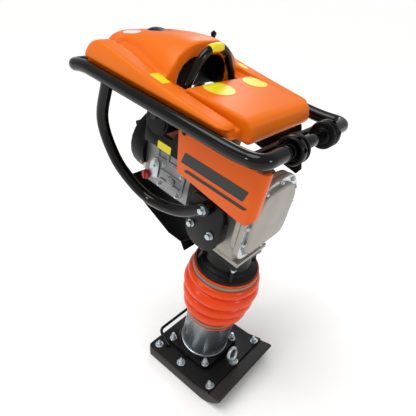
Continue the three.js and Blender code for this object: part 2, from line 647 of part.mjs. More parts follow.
function makeTank() {
  const { half, rear, front, sill, floor } = tank;
  const wings = across(outline([
    [rear + 30, sill], [rear + 26, 862], [rear + 44, 880], [rear + 64, 888], [-334, 882], [-187, 865],
      [-60, 852],
    [-2, 846], [4, sill],
  ]), -half, half);
  const plan = new THREE.Shape();
  plan.moveTo(rear, -70);
  plan.quadraticCurveTo(rear + 2, -half, rear + 70, -half);
  plan.lineTo(-30, -half);
  plan.quadraticCurveTo(8, -half, 14, -120);
  plan.lineTo(14, 120);
  plan.quadraticCurveTo(8, half, -30, half);
  plan.lineTo(rear + 70, half);
  plan.quadraticCurveTo(rear + 2, half, rear, 70);
  const trimmed = common(wings, raised(plan, sill - 2, 1000));
  // the raised hump over the fuel space, with its crest level when the machine leans
  const crest = (x) => 896 + (x - rear) * 0.16;
  const humpSide = across(outline([
    [rear, floor], [rear, 872], [rear + 12, crest(rear + 12)], [-246, crest(-246)], [-222, 930],
      [slot.back, 905],
    [slot.back, floor],
  ]), -118, 118);
  const humpFront = along(outline([
    [-118, floor], [118, floor], [118, 862], [84, 900], [40, 926], [0, 936], [-40, 926], [-84, 900],
      [-118, 862],
  ]), rear - 1, slot.back + 1);
  const deck = across(outline([
    [slot.front, floor], [slot.front, 858], [slot.front + 8, 864], [front - 22, 864], [front - 8, 856],
    [front, 828], [front - 14, floor],
  ]), -121, 121);
  const keel = block(rear + 30, slot.back, -110, 110, floor, sill + 4);
  const bridge = [-1, 1].map((side) => block(slot.back - 4, slot.front + 4, side * 124 - 26,
    side * 124 + 26, floor + 14, sill + 4));
  const body = join(trimmed, common(humpSide, humpFront), deck, keel, ...bridge);
  const room = block(rear + 42, slot.back - 22, -96, 96, floor + 5, 882);
  const neck = upright(22, filler.x, 0, 870, 960, 24);
  const seat = upright(33, filler.x, 0, filler.z - 3, 990, 24);
  const well = block(slot.back, slot.front, -slot.half, slot.half, floor - 2, 1000);
  part('fuel_tank', cut(body, room, neck, seat, well), orangePlastic);
}

function makeFuelCap() {
  const cap = turned([
    [0, filler.z - 22], [20, filler.z - 22], [20, filler.z - 2], [28, filler.z - 2], [30, filler.z],
      [30, filler.z + 8], [24, filler.z + 13],
    [10, filler.z + 16], [0, filler.z + 16],
  ], 28).translate(filler.x, 0, 0);
  part('fuel_cap', cap, blackPlastic);
}

function makeHoop() {
  const at = (y, z) => V(hoop.x, y, z);
  const path = bentPath([
    at(-hoop.half, hoop.foot + 3), at(-hoop.half + 6, 852), at(-30, 929), at(38, 929),
      at(hoop.half - 6, 852),
    at(hoop.half, hoop.foot + 3),
  ], 34);
  const feet = [-1, 1].map((side) => upright(13, hoop.x, side * hoop.half, hoop.foot - gap, hoop.foot + 5,
    12));
  part('lifting_hoop', join(tube(path, hoop.radius, 24, 8), ...feet), blackEnamel);
}

function makePanels() {
  const { y, thickness, top, front } = panel;
  const skin = (inset) => {
    const s = new THREE.Shape();
    s.moveTo(-127, -y + inset);
    s.lineTo(front - 16, -y + inset);
    s.absarc(front - 16, -y + 16, 16 - inset, -Math.PI / 2, 0, false);
    s.lineTo(front - inset, -118);
    s.lineTo(-127, -118);
    return s;
  };
  const shell = cut(raised(skin(0), 640, top), raised(skin(thickness), 630, top + 10).translate(-4, 0, 0));
  const wall = common(shell, join(block(-126, front + 1, -y - 1, -y + thickness, 630, top + 1),
    block(front - 20, front + 1, -y - 1, -124, 630, top + 1)));
  const side = across(outline([
    [-126, top], [-112, 686], [84, 663], [96, 666], [front + 2, 684], [front + 2, top],
  ]), -y - 2, -100);
  const right = common(wall, side);
  part('side_panel_right', right, orangePlastic);
  // the left one guards the muffler and stops short of the crankcase cover
  const guard = outline([[-126, top], [-112, 686], [44, 664], [54, 684], [12, top]]);
  part('side_panel_left', across(guard, y - thickness, y), blackSteel);
}

function makeControls() {
  const { y, z, radius } = rail;
  const [x, pivot] = [-350, z + radius + 18];
  const clamp = join(block(x - 14, x + 14, y - 4, y + 20, z + radius + gap, z + radius + 6),
    block(x - 14, x + 14, y + 14, y + 20, z + radius + 4, pivot + 8));
  part('throttle_bracket', clamp, blackSteel);
  const bar = across(roundedRect(-7, 7, -8, 62, 6), y + 3, y + 9, 4);
  const hub = acrossRod(10, 0, 0, y + 2, y + 14 - gap, 16);
  const knob = acrossRod(9, 0, 58, y, y + 12, 12);
  part('throttle_lever', join(bar, hub, knob).rotateY(0.16).translate(x, 0, pivot), blackPlastic);
  const cable = smoothPath([
    V(x + 17, y + 18, pivot + 2), V(x + 44, y + 21, z + 10), V(-250, y + 21, z - 2), V(-164, y + 20, z - 8),
    V(-144, y + 2, 797), V(-140, 140, 797), V(-140, 70, 792), V(-164, 22, 784), V(-206, -10, 787),
      V(-224, -19, 783), V(-226, -20, 773.2),
  ]);
  part('throttle_cable', tube(cable, 3, 30, 6), blackPlastic);
  const tap = join(upright(7, -150, -70, 806.4, tank.floor - gap, 12),
    block(-158, -146, -76, -64, 806.4, 810));
  part('fuel_tap', tap, redPlastic);
  const oilZ = 566;
  const dipstick = join(acrossRod(13, -276, oilZ, -engine.half - 16, -engine.half - 4 - gap, 16),
    block(-279, -273, -engine.half - 20, -engine.half - 10, oilZ - 11, oilZ + 11));
  part('oil_cap', dipstick, redPlastic);
}

makeShoePad();
makeShoePlate();
makeFootFlange();
makeFlangeStuds();
makeEyeBolt();
makeCarryRod();
makeSpringCylinder();
makeSprings();
makeBellows();
makeGuideCylinder();
makeCrankcase();
makeCrankcaseCover();
makeClutchHousing();
makeEngineBlock();
makeEngineCylinder();
makeFanShroud();
makeRecoilHousing();
makePullGrip();
makeAirSide();
makeMuffler();
makeEngineGuard();
makeLeads();
makeRubberMounts();
makeCrank();
makePinion();
makeEngineShaft();
makeConRod();
makePiston();
makeHandleFrame();
makeRollers();
makeBrackets();
makeTank();
makeFuelCap();
makeHoop();
makePanels();
makeControls();

export default object;
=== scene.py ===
import json
import math

import bmesh
import bpy
from mathutils import Matrix, Vector
from mathutils.geometry import interpolate_bezier


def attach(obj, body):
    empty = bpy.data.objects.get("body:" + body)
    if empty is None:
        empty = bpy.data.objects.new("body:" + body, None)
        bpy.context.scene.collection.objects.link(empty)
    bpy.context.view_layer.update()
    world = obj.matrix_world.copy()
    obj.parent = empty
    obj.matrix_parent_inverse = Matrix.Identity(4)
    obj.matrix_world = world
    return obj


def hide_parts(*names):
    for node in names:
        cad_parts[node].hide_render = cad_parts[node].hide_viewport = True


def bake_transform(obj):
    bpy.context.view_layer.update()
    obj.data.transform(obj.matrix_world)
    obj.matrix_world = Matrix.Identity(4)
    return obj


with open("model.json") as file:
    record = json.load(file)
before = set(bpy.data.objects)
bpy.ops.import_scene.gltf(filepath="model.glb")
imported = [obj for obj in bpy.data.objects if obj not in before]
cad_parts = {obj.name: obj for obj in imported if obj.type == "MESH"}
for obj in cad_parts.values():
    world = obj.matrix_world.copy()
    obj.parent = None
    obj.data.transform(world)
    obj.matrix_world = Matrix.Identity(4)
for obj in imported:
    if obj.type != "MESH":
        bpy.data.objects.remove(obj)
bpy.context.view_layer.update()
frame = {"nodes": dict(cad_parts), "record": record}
scene = bpy.context.scene

# the machine above the foot flange leans forward with its leg
# its own frame is forward, left and up the leg, in millimetres
legLean = math.radians(9.3)
leaning = (
    Matrix.Translation((-0.017, 0, 0.0547)) @ Matrix.Rotation(legLean, 4, "Y") @ Matrix.Scale(0.001, 4)
)
square = Matrix.Scale(0.001, 4)  # the shoe sits flat on the ground

# camera and room

view = {"place": (0.53635, -0.70672, 1.12417), "turn": (59.114, -3.478, 41.225), "lens": 32.531}
camera = bpy.data.objects.new("camera", bpy.data.cameras.new("camera"))
camera.data.lens = view["lens"]
camera.location = view["place"]
camera.rotation_euler = [math.radians(a) for a in view["turn"]]
camera.data.clip_end = 50
scene.collection.objects.link(camera)
scene.camera = camera
scene.view_settings.view_transform = "Standard"


def linearColour(hexCode):
    parts = [int(hexCode[i : i + 2], 16) / 255 for i in (1, 3, 5)]
    return [p / 12.92 if p <= 0.04045 else ((p + 0.055) / 1.055) ** 2.4 for p in parts] + [1.0]


def addNode(tree, kind, settings=None, values=None, links=None):
    made = tree.nodes.new(kind)
    for key, value in (settings or {}).items():
        setattr(made, key, value)
    for key, value in (values or {}).items():
        made.inputs[key].default_value = value
    for key, source in (links or {}).items():
        tree.links.new(source, made.inputs[key])
    return made


def addLight(name, place, target, size, power, tint):
    lamp = bpy.data.lights.new(name, "AREA")
    lamp.shape, lamp.size, lamp.energy = "DISK", size, power
    lamp.color = linearColour(tint)[:3]
    holder = bpy.data.objects.new(name, lamp)
    holder.location = place
    holder.rotation_euler = (Vector(target) - Vector(place)).to_track_quat("-Z", "Y").to_euler()
    scene.collection.objects.link(holder)


room = {
    "floor": "#fcfcfb", "sky": "#ffffff", "skyStrength": 0.52, "size": 400, "overhead": 1.75,
    "softness": 40,
}
addLight("keyLight", (-0.9, -2.6, 1.7), (0, 0, 0.5), 0.35, 9, "#fffdf8")
addLight("sideLight", (2.4, 0.2, 1.6), (0, 0, 0.5), 0.5, 8, "#ffffff")
addLight("backLight", (-1.6, 2.2, 2.4), (-0.1, 0, 0.6), 0.9, 12, "#f8fbff")
overhead = bpy.data.objects.new("overheadLight", bpy.data.lights.new("overheadLight", "SUN"))
overhead.data.energy, overhead.data.angle = room["overhead"], math.radians(room["softness"])
overhead.rotation_euler = (math.radians(14), math.radians(-10), 0)
scene.collection.objects.link(overhead)
world = bpy.data.worlds.new("studio")
world.use_nodes = True
world.node_tree.nodes["Background"].inputs["Color"].default_value = linearColour(room["sky"])
seen = addNode(world.node_tree, "ShaderNodeLightPath").outputs["Is Camera Ray"]
level = addNode(
    world.node_tree, "ShaderNodeMapRange", {}, {
        "To Min": room["skyStrength"], "To Max": 1.0
    }, {"Value": seen}
)
world.node_tree.links.new(
    level.outputs["Result"], world.node_tree.nodes["Background"].inputs["Strength"]
)
scene.world = world

bm = bmesh.new()
bmesh.ops.create_grid(bm, x_segments=2, y_segments=2, size=room["size"] / 2)
floorMesh = bpy.data.meshes.new("floor")
bm.to_mesh(floorMesh)
bm.free()
floor = bpy.data.objects.new("floor", floorMesh)
scene.collection.objects.link(floor)
paper = bpy.data.materials.new("backdropPaper")
paper.use_nodes = True
paper.node_tree.nodes[
    "Principled BSDF"
].inputs["Base Color"].default_value = linearColour(room["floor"])
paper.node_tree.nodes["Principled BSDF"].inputs["Roughness"].default_value = 0.9
floorMesh.materials.append(paper)
print("room ready")


# finishes


def makeFinish(
    name, light, dark, patch, roughness, spread, grain, depth, metallic=0.0, coat=0.0, shine=0.5,
    stretch=(1, 1, 1),
):
    # light drifts to dark over patches of that many mm, roughness wanders by spread,
    # and the skin has bumps grain mm across and depth mm high
    material = bpy.data.materials.new(name)
    material.use_nodes = True
    tree = material.node_tree
    shader = tree.nodes["Principled BSDF"]
    spot = addNode(tree, "ShaderNodeTexCoord").outputs["Object"]
    if stretch != (1, 1, 1):
        spot = addNode(
            tree, "ShaderNodeMapping", {}, {"Scale": stretch}, {"Vector": spot}
        ).outputs["Vector"]
    drift = addNode(
        tree, "ShaderNodeTexNoise", {}, {"Scale": 1000 / patch, "Detail": 4.0}, {"Vector": spot}
    )
    blend = addNode(
        tree, "ShaderNodeMix", {"data_type": "RGBA"}, {6: linearColour(light), 7: linearColour(dark)},
        {0: drift.outputs["Fac"]},
    )
    gloss = addNode(
        tree, "ShaderNodeMapRange", {}, {"To Min": roughness - spread, "To Max": roughness + spread},
        {"Value": drift.outputs["Fac"]},
    )
    skin = addNode(
        tree, "ShaderNodeTexNoise", {}, {"Scale": 1000 / grain, "Detail": 2.0}, {"Vector": spot}
    )
    bump = addNode(
        tree, "ShaderNodeBump", {}, {"Strength": 1.0, "Distance": depth / 1000},
        {"Height": skin.outputs["Fac"]},
    )
    tree.links.new(blend.outputs[2], shader.inputs["Base Color"])
    tree.links.new(gloss.outputs["Result"], shader.inputs["Roughness"])
    tree.links.new(bump.outputs["Normal"], shader.inputs["Normal"])
    shader.inputs["Metallic"].default_value = metallic
    shader.inputs["Coat Weight"].default_value = coat
    shader.inputs["Coat Roughness"].default_value = 0.08
    shader.inputs["Specular IOR Level"].default_value = shine
    return material


finish = {
    # rotationally moulded polyethylene: a satin skin with a faint orange-peel ripple
    "orange_plastic": makeFinish(
        "mouldedPolyethylene", "#f0770f", "#e96d09", 90, 0.38, 0.05, 3.0, 0.05, shine=0.16,
    ),
    # cast polyurethane: wet-looking and a redder orange, slightly uneven from the mould
    "orange_rubber": makeFinish(
        "castPolyurethane", "#ea480a", "#dd3c06", 40, 0.22, 0.05, 5.0, 0.12, shine=0.28,
    ),
    # powder coat on steel tube: deep gloss with a fine orange peel that breaks up the highlights
    "black_enamel": makeFinish(
        "powderCoatedTube", "#030303", "#050505",
        60, 0.13, 0.03, 2.5, 0.04, coat=0.3, shine=0.14,
    ),
    # sprayed enamel on cast and cut steel: semi-gloss over a slightly pitted face
    "black_steel": makeFinish(
        "sprayedSteel", "#0a0a0a", "#121110", 30, 0.36, 0.10, 3.0, 0.14, shine=0.2,
    ),
    # injection-moulded ABS with a spark-eroded texture
    "black_plastic": makeFinish(
        "mouldedAbs", "#060607", "#0b0b0c", 40, 0.38, 0.06, 1.5, 0.06, shine=0.15,
    ),
    # moulded nitrile rubber: dull sheen, tiny pores
    "dark_rubber": makeFinish(
        "mouldedRubber", "#050506", "#0b0b0c", 25, 0.28, 0.08, 2.0, 0.08, shine=0.18,
    ),
    # sand-cast aluminium, blasted: warm pale grey with a sugar-like grain
    "cast_aluminium": makeFinish(
        "blastedAluminium", "#aaa59d", "#98948d", 45, 0.46, 0.06, 1.6, 0.10, metallic=0.7,
    ),
    # die-cast engine alloy: colder and darker, with a tight skin
    "engine_aluminium": makeFinish(
        "dieCastAluminium", "#a3a3a4", "#838487", 35, 0.42, 0.08, 1.8, 0.10, metallic=0.8,
    ),
    # hot-dip zinc drawn over steel tube: blue-grey, with vertical flow marks
    "galvanised": makeFinish(
        "galvanisedSteel", "#a3abb0", "#7d858b",
        14, 0.30, 0.10, 4.0, 0.06, metallic=0.9, stretch=(1, 1, 0.15),
    ),
    # bright zinc plate on bolts: nearly mirror, faintly blue
    "zinc_plate": makeFinish(
        "brightZinc", "#d3dadd", "#aab5bb", 8, 0.30, 0.06, 1.5, 0.04, metallic=0.9,
    ),
    # ground gear steel under an oil film
    "gear_steel": makeFinish(
        "oiledSteel", "#9a9b9d", "#7f8082", 15, 0.28, 0.06, 1.2, 0.03, metallic=1.0,
    ),
    # injection-moulded red nylon
    "red_plastic": makeFinish("mouldedNylon", "#c9121d", "#ad0d18", 15, 0.32, 0.05, 1.5, 0.05),
}


def makePly(name, stain, glue, layer):
    # densified beech laminate, pressed with phenolic glue: dark brown, each ply edge showing as a line
    material = bpy.data.materials.new(name)
    material.use_nodes = True
    tree = material.node_tree
    shader = tree.nodes["Principled BSDF"]
    spot = addNode(tree, "ShaderNodeTexCoord").outputs["Object"]
    stretched = addNode(tree, "ShaderNodeMapping", {}, {"Scale": (1, 0.15, 3)}, {"Vector": spot})
    fibre = addNode(
        tree, "ShaderNodeTexNoise", {}, {"Scale": 1000 / 12, "Detail": 5.0},
        {"Vector": stretched.outputs["Vector"]},
    )
    plies = addNode(
        tree, "ShaderNodeTexWave", {"bands_direction": "Z"},
        {"Scale": 1000 / layer / 20, "Distortion": 0.6, "Detail": 2.0, "Detail Scale": 2.0},
        {"Vector": spot},
    )
    lines = addNode(
        tree, "ShaderNodeMix", {"data_type": "RGBA"}, {6: linearColour(glue), 7: linearColour(stain)},
        {0: plies.outputs["Fac"]},
    )
    cloudy = addNode(
        tree, "ShaderNodeMix", {"data_type": "RGBA"}, {7: linearColour(glue)},
        {0: fibre.outputs["Fac"], 6: lines.outputs[2]},
    )
    bump = addNode(
        tree, "ShaderNodeBump", {}, {"Strength": 0.8, "Distance": 0.0004},
        {"Height": plies.outputs["Fac"]},
    )
    tree.links.new(cloudy.outputs[2], shader.inputs["Base Color"])
    tree.links.new(bump.outputs["Normal"], shader.inputs["Normal"])
    shader.inputs["Roughness"].default_value = 0.55
    return material


finish["laminated_pad"] = makePly("densifiedLaminate", "#241f1b", "#100d0b", 3.0)
# brushed stainless band: fine lines running round it, a little straw-coloured
clampSteel = makeFinish(
    "brushedStainless", "#8e8a76", "#737060", 9, 0.36, 0.06, 2.0, 0.03, metallic=0.85,
    stretch=(1, 1, 6),
)
# the same casting milled flat: brighter, with fine circular cutter marks
machinedAluminium = makeFinish(
    "milledAluminium", "#d4d6d8", "#c2c4c7", 30, 0.26, 0.05, 1.2, 0.02, metallic=0.9
)
# sprayed steel sheet in the body orange: deeper than the moulding and glossier
panelPaint = makeFinish("sprayedPanel", "#e0600f", "#d8570b", 80, 0.30, 0.04, 2.5, 0.03, shine=0.2)
# braided nylon rope: dull black with a coarse weave
braidedCord = makeFinish("braidedNylon", "#101011", "#1b1b1c", 4, 0.7, 0.05, 1.2, 0.2, shine=0.2)
# printed polyester labels: smooth satin film, left blank
yellowLabel = makeFinish("yellowLabelFilm", "#f2e21c", "#eadb12", 20, 0.35, 0.03, 4.0, 0.01)
whiteLabel = makeFinish("whiteLabelFilm", "#e9e9e6", "#dededb", 20, 0.35, 0.03, 4.0, 0.01)
darkFilm = makeFinish("darkLabelFilm", "#15191a", "#101314", 20, 0.38, 0.03, 4.0, 0.01)
# yellow vinyl sheath on the sensor lead
wireSheath = makeFinish("vinylWire", "#c9b23a", "#b59f2e", 10, 0.45, 0.03, 3.0, 0.01)

for row in frame["record"]["subparts"]:
    node = frame["nodes"][row["node"]]
    node.data.materials.clear()
    node.data.materials.append(finish[row["material_slot"]])
    for polygon in node.data.polygons:
        polygon.use_smooth = False
slotOf = {row["node"]: row["material_slot"] for row in frame["record"]["subparts"]}
print("finishes ready")


# modelling


def takeIn(bm, own, matrix=None):
    # adds a finished lump to a piece
    if matrix is not None:
        bmesh.ops.transform(own, matrix=matrix, verts=own.verts)
    bmesh.ops.recalc_face_normals(own, faces=own.faces)
    mesh = bpy.data.meshes.new("lump")
    own.to_mesh(mesh)
    own.free()
    bm.from_mesh(mesh)
    bpy.data.meshes.remove(mesh)


def follow(table, x):
    if x <= table[0][0]:
        return table[0][1]
    for (x0, v0), (x1, v1) in zip(table, table[1:]):
        if x <= x1:
            return v0 + (v1 - v0) * (x - x0) / (x1 - x0)
    return table[-1][1]


def movedVerts(made):
    return [g for g in made["geom"] if isinstance(g, bmesh.types.BMVert)]


def addSlab(bm, corners, push, rounding=0.0, edge=0.0, segments=3, steps=8, matrix=None):
    # a flat outline with rounded corners, pushed out and its rims softened
    own = bmesh.new()
    own.faces.new([own.verts.new(c) for c in corners])
    radii = rounding if isinstance(rounding, (list, tuple)) else [rounding] * len(corners)
    for vert, radius in zip(list(own.verts), radii):
        if radius:
            bmesh.ops.bevel(
                own, geom=[vert], offset=radius, affect="VERTICES", segments=steps, profile=0.5,
                material=-1,
            )
    made = bmesh.ops.extrude_face_region(own, geom=list(own.faces), use_keep_orig=True)
    bmesh.ops.translate(own, vec=push, verts=movedVerts(made))
    bmesh.ops.recalc_face_normals(own, faces=own.faces)
    softenRims(own, edge, segments)
    takeIn(bm, own, matrix)


def softenRims(own, width, segments, angle=40):
    if width:
        rims = [e for e in own.edges if e.is_manifold and e.calc_face_angle(0) > math.radians(angle)]
        bmesh.ops.bevel(
            own, geom=rims, offset=width, affect="EDGES", segments=segments, profile=0.5,
            material=-1, clamp_overlap=True,
        )


def addTurned(bm, profile, matrix=None, steps=72):
    own = bmesh.new()
    ring = [own.verts.new((r, 0, z)) for r, z in profile]
    line = [own.edges.new(pair) for pair in zip(ring, ring[1:])]
    bmesh.ops.spin(
        own, geom=ring + line, cent=(
            0, 0, 0
        ), axis=(0, 0, 1), angle=2 * math.pi, steps=steps, use_merge=True
    )
    bmesh.ops.remove_doubles(own, verts=own.verts, dist=0.001)
    takeIn(bm, own, matrix)


def addRod(bm, radius, start, end, segments=32, tip=None, edge=0.0):
    start, end = Vector(start), Vector(end)
    own = bmesh.new()
    bmesh.ops.create_cone(
        own, cap_ends=True, segments=segments, radius1=radius, radius2=radius if tip is None else tip,
        depth=(end - start).length,
    )
    softenRims(own, edge, 2)
    turn = (end - start).to_track_quat("Z", "Y").to_matrix().to_4x4()
    takeIn(bm, own, Matrix.Translation((start + end) / 2) @ turn)


def facing(point, direction):
    return Matrix.Translation(point) @ Vector(direction).to_track_quat("Z", "Y").to_matrix().to_4x4()


def bentLine(points, bend, steps=10):
    # straight runs joined by round bends
    points = [Vector(p) for p in points]
    line = [points[0]]
    for before, corner, after in zip(points, points[1:], points[2:]):
        trim = min(bend, (corner - before).length * 0.48, (after - corner).length * 0.48)
        a = corner + (before - corner).normalized() * trim
        b = corner + (after - corner).normalized() * trim
        line += interpolate_bezier(a, a.lerp(corner, 0.6), b.lerp(corner, 0.6), b, steps)
    return line + [points[-1]]


def smoothLine(points, steps=10):
    points = [Vector(p) for p in points]
    ends = [points[0] * 2 - points[1]] + points + [points[-1] * 2 - points[-2]]
    line = [points[0]]
    for before, a, b, after in zip(ends, ends[1:], ends[2:], ends[3:]):
        line += interpolate_bezier(a, a + (b - before) / 6, b - (after - a) / 6, b, steps)[1:]
    return line


def addPipe(bm, line, radius, resolution=5, matrix=None):
    curve = bpy.data.curves.new("pipe", "CURVE")
    curve.dimensions, curve.use_fill_caps = "3D", True
    curve.bevel_depth, curve.bevel_resolution = radius, resolution
    spline = curve.splines.new("POLY")
    spline.points.add(len(line) - 1)
    for point, spot in zip(spline.points, line):
        point.co = (*spot, 1)
    holder = bpy.data.objects.new("pipe", curve)
    mesh = bpy.data.meshes.new_from_object(holder)
    own = bmesh.new()
    own.from_mesh(mesh)
    bmesh.ops.remove_doubles(own, verts=own.verts, dist=0.001)
    bpy.data.meshes.remove(mesh)
    bpy.data.objects.remove(holder)
    bpy.data.curves.remove(curve)
    takeIn(bm, own, matrix)


def makePiece(name, bm, material, body, stands=(), matrix=leaning, sharp=32):
    if matrix is not None:
        bmesh.ops.transform(bm, matrix=matrix, verts=bm.verts)
    for face in bm.faces:
        face.smooth = True
    for edge in bm.edges:
        edge.smooth = not edge.is_manifold or edge.calc_face_angle(0) < math.radians(sharp)
    mesh = bpy.data.meshes.new(name)
    bm.to_mesh(mesh)
    bm.free()
    mesh.materials.append(material)
    piece = bpy.data.objects.new(name, mesh)
    scene.collection.objects.link(piece)
    if body:
        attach(piece, body)
    if stands:
        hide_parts(*stands)
    return piece


def carve(piece, cutters, operation="DIFFERENCE"):
    # cuts the solids in bm cutters out of the piece's mesh
    mesh = bpy.data.meshes.new("cutter")
    cutters.to_mesh(mesh)
    cutters.free()
    tool = bpy.data.objects.new("cutter", mesh)
    scene.collection.objects.link(tool)
    modifier = piece.modifiers.new("carve", "BOOLEAN")
    modifier.operation, modifier.object, modifier.solver = operation, tool, "EXACT"
    modifier.use_self = True
    settleMesh(piece)
    bpy.data.objects.remove(tool)


def settleMesh(piece):
    # applies every modifier
    bpy.context.view_layer.update()
    shaped = piece.evaluated_get(bpy.context.evaluated_depsgraph_get())
    mesh = bpy.data.meshes.new_from_object(shaped)
    piece.modifiers.clear()
    old, piece.data = piece.data, mesh
    bpy.data.meshes.remove(old)
    mesh.name = piece.name


def softened(node, width, segments=2, angle=30, body=None):
    # the CAD solid again, merged, with its hard edges rounded by width mm
    bm = bmesh.new()
    bm.from_mesh(frame["nodes"][node].data)
    bmesh.ops.transform(bm, matrix=Matrix.Scale(1000, 4), verts=bm.verts)
    bmesh.ops.remove_doubles(bm, verts=bm.verts, dist=0.005)
    bmesh.ops.dissolve_limit(bm, angle_limit=math.radians(0.6), verts=bm.verts, edges=bm.edges)
    softenRims(bm, width, segments, angle)
    name = "".join(w.capitalize() if i else w for i, w in enumerate(node.split("_"))) + "Skin"
    rides = body or [
        b for b, names in frame["record"]["behaviour"]["bodies"].items() if node in names
    ][0]
    return makePiece(name, bm, finish[slotOf[node]], rides, (node,), square, angle)


def addBolt(bm, matrix, washer=11, head=8, thick=6, stud=0, spring=False):
    # washer, optional split spring washer, six-sided head or nut, and a domed stud end
    # all standing on z = 0

    addTurned(bm, [(0, 0), (washer, 0), (washer, 1.6), (washer - 0.6, 2.2), (0, 2.2)], matrix, 28)
    base = 2.2
    if spring:
        addTurned(
            bm, [(0, base), (head * 0.98, base), (head * 0.98, base + 2), (0, base + 2)], matrix, 24
        )
        base += 2.0
    own = bmesh.new()
    bmesh.ops.create_cone(own, cap_ends=True, segments=6, radius1=head, radius2=head, depth=thick)
    softenRims(own, 0.7, 2)
    takeIn(bm, own, matrix @ Matrix.Translation((0, 0, base + thick / 2)))
    if stud:
        r = head * 0.55
        threads = [(r - 0.5 * (i % 2), base + thick + i * 0.9) for i in range(int(stud / 0.9))]
        end = base + thick + stud
        addTurned(bm, [(0, base)] + threads + [(r - 1.4, end + 0.6), (0, end + 0.9)], matrix, 20)
    else:
        top = base + thick
        addTurned(
            bm, [(0, top - 1), (head * 0.62, top - 1), (head * 0.62, top + 0.5), (0, top + 0.8)],
            matrix, 20,
        )


# shoe and foot


# the plate is level from the heel to the bend, then curls up to the nose
shoe = {
    "top": 40.0, "bend": 76.0, "slope": 27 / 92, "boltX": (-119, -14), "boltY": 115, "noseX": 116,
    "noseY": 119,
    "washer": 14, "nut": 8.5, "nutHeight": 8, "stud": 9,
}


def noseHeight(x):
    return shoe["top"] + (x - shoe["bend"]) * shoe["slope"]


def makeShoe():
    softened("shoe_pad", 3.0, 3)
    softened("shoe_plate", 1.6, 2)
    tilt = math.atan(shoe["slope"])
    up = Vector((-math.sin(tilt), 0, math.cos(tilt)))
    sizes = (shoe["washer"], shoe["nut"], shoe["nutHeight"], shoe["stud"])
    bm = bmesh.new()
    for side in (-1, 1):
        for x in shoe["boltX"]:
            addBolt(bm, Matrix.Translation((x, side * shoe["boltY"], shoe["top"] + 0.3)), *sizes)
        place = Vector((shoe["noseX"], side * shoe["noseY"], noseHeight(shoe["noseX"]) + 0.3))
        addBolt(bm, facing(place, up), *sizes)
    makePiece("shoeBolts", bm, finish["zinc_plate"], "foot", (), square)


def makeFlange():
    flange = {"x": -21, "boltX": 74, "boltY": 71.5, "top": 55.0}
    softened("foot_flange", 3.0, 3, 24)
    bm = bmesh.new()
    for sx in (-1, 1):
        for sy in (-1, 1):
            place = (flange["x"] + sx * flange["boltX"], sy * flange["boltY"], flange["top"])
            addBolt(bm, Matrix.Translation(place), 12, 10, 8, 12, True)
    studs = tuple(f"flange_stud_{i}" for i in range(1, 5))
    makePiece("flangeNuts", bm, finish["zinc_plate"], "foot", studs, square)


def makeEyeBolt():
    eye = {"x": 118, "ring": 20, "wire": 5.4, "height": 33, "steps": 60}
    tilt = math.atan(shoe["slope"])
    matrix = Matrix.Translation(
        (eye["x"] - 1, 0, noseHeight(eye["x"]))
    ) @ Matrix.Rotation(-tilt, 4, "Y")
    bm = bmesh.new()
    addTurned(bm, [(0, 0.4), (15, 0.4), (15, 4), (11.5, 5), (10, 9), (9.5, 13), (0, 13)], matrix, 40)
    line = [
        Vector((0, eye["ring"] * math.cos(a), eye["height"] + eye["ring"] * math.sin(a)))
        for a in [2 * math.pi * i / eye["steps"] for i in range(eye["steps"] + 1)]
    ]
    addPipe(bm, line, eye["wire"], 6, matrix)
    makePiece("eyeBolt", bm, finish["zinc_plate"], "foot", ("eye_bolt",), square, 50)


def makeCarryRod():
    rod = {"x": -92, "y": 98, "reach": -134, "z": 46, "rise": 42, "radius": 5}
    bm = bmesh.new()
    low, high = rod["z"], rod["z"] + rod["rise"]
    ends = [(rod["x"], low), (rod["reach"], high)]
    corners = [(x, -rod["y"], z) for x, z in ends] + [(x, rod["y"], z) for x, z in ends[::-1]]
    addPipe(bm, bentLine(corners, 16), rod["radius"])
    for side in (-1, 1):
        addRod(bm, 8, (rod["x"], side * rod["y"], 40.4), (rod["x"], side * rod["y"], 47), 24, 6)
    makePiece("carryRod", bm, finish["black_enamel"], "foot", ("carry_rod",), square)


